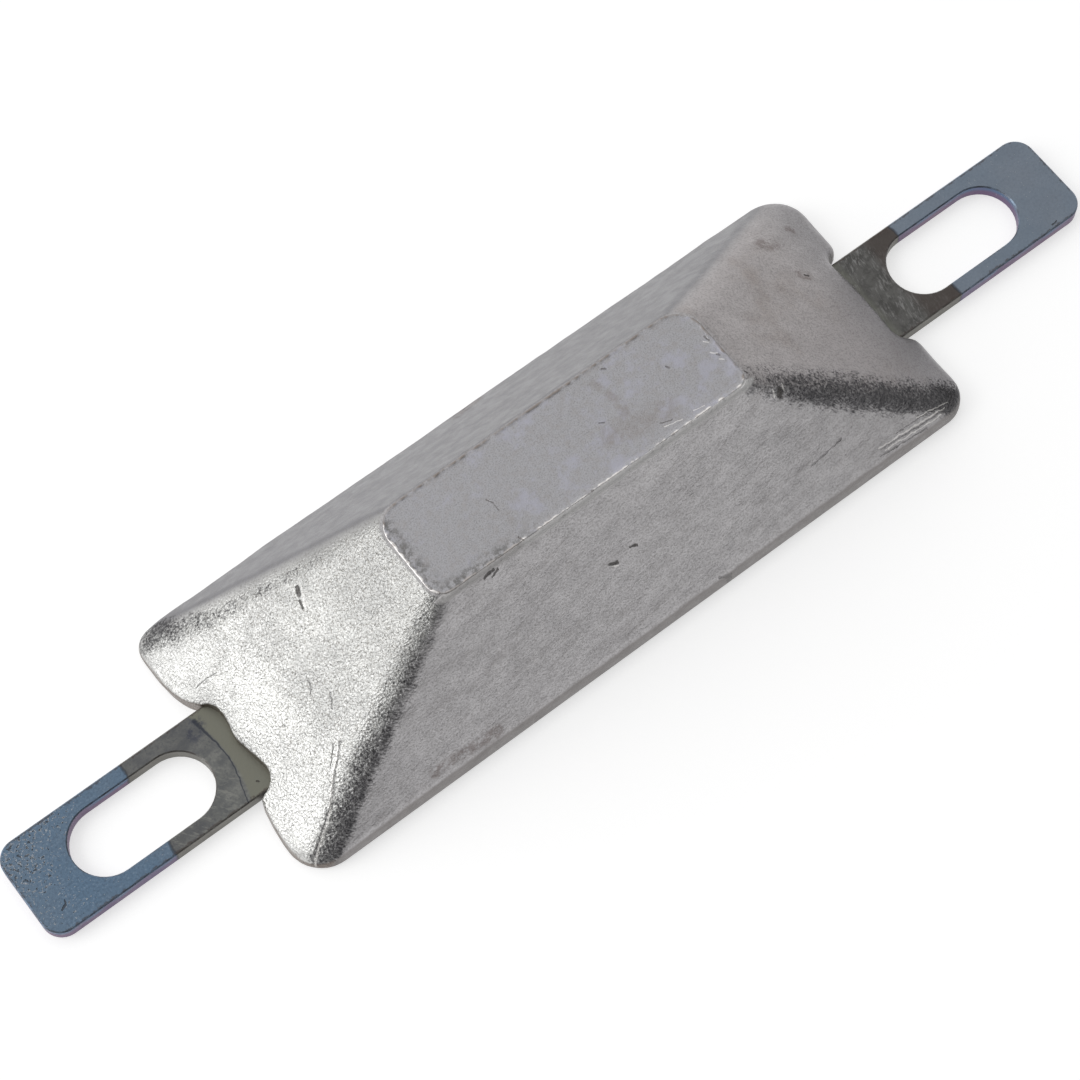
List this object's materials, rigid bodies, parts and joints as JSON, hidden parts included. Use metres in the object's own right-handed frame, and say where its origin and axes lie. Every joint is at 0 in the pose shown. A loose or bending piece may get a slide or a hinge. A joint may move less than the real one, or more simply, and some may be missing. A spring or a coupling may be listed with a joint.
{
  "type": "sacrificial anode",
  "caption": "Bolt-on hull anode: a hipped block of cast aluminium poured round a flat steel strap with a long bolt slot at each end.",
  "frame": {"origin": "middle of the hull face, under the centre of the strap", "axes": "+X along the strap, +Z out from the hull towards the crown of the casting"},
  "size_m": [0.299, 0.071, 0.042],
  "materials": {
    "cast_aluminium": "as cast, matte",
    "plated_steel": "zinc plated, blue passivated"
  },
  "bodies": {
    "root": {"anode_casting": "cast_aluminium", "fixing_strap": "plated_steel"}
  },
  "joints": []
}
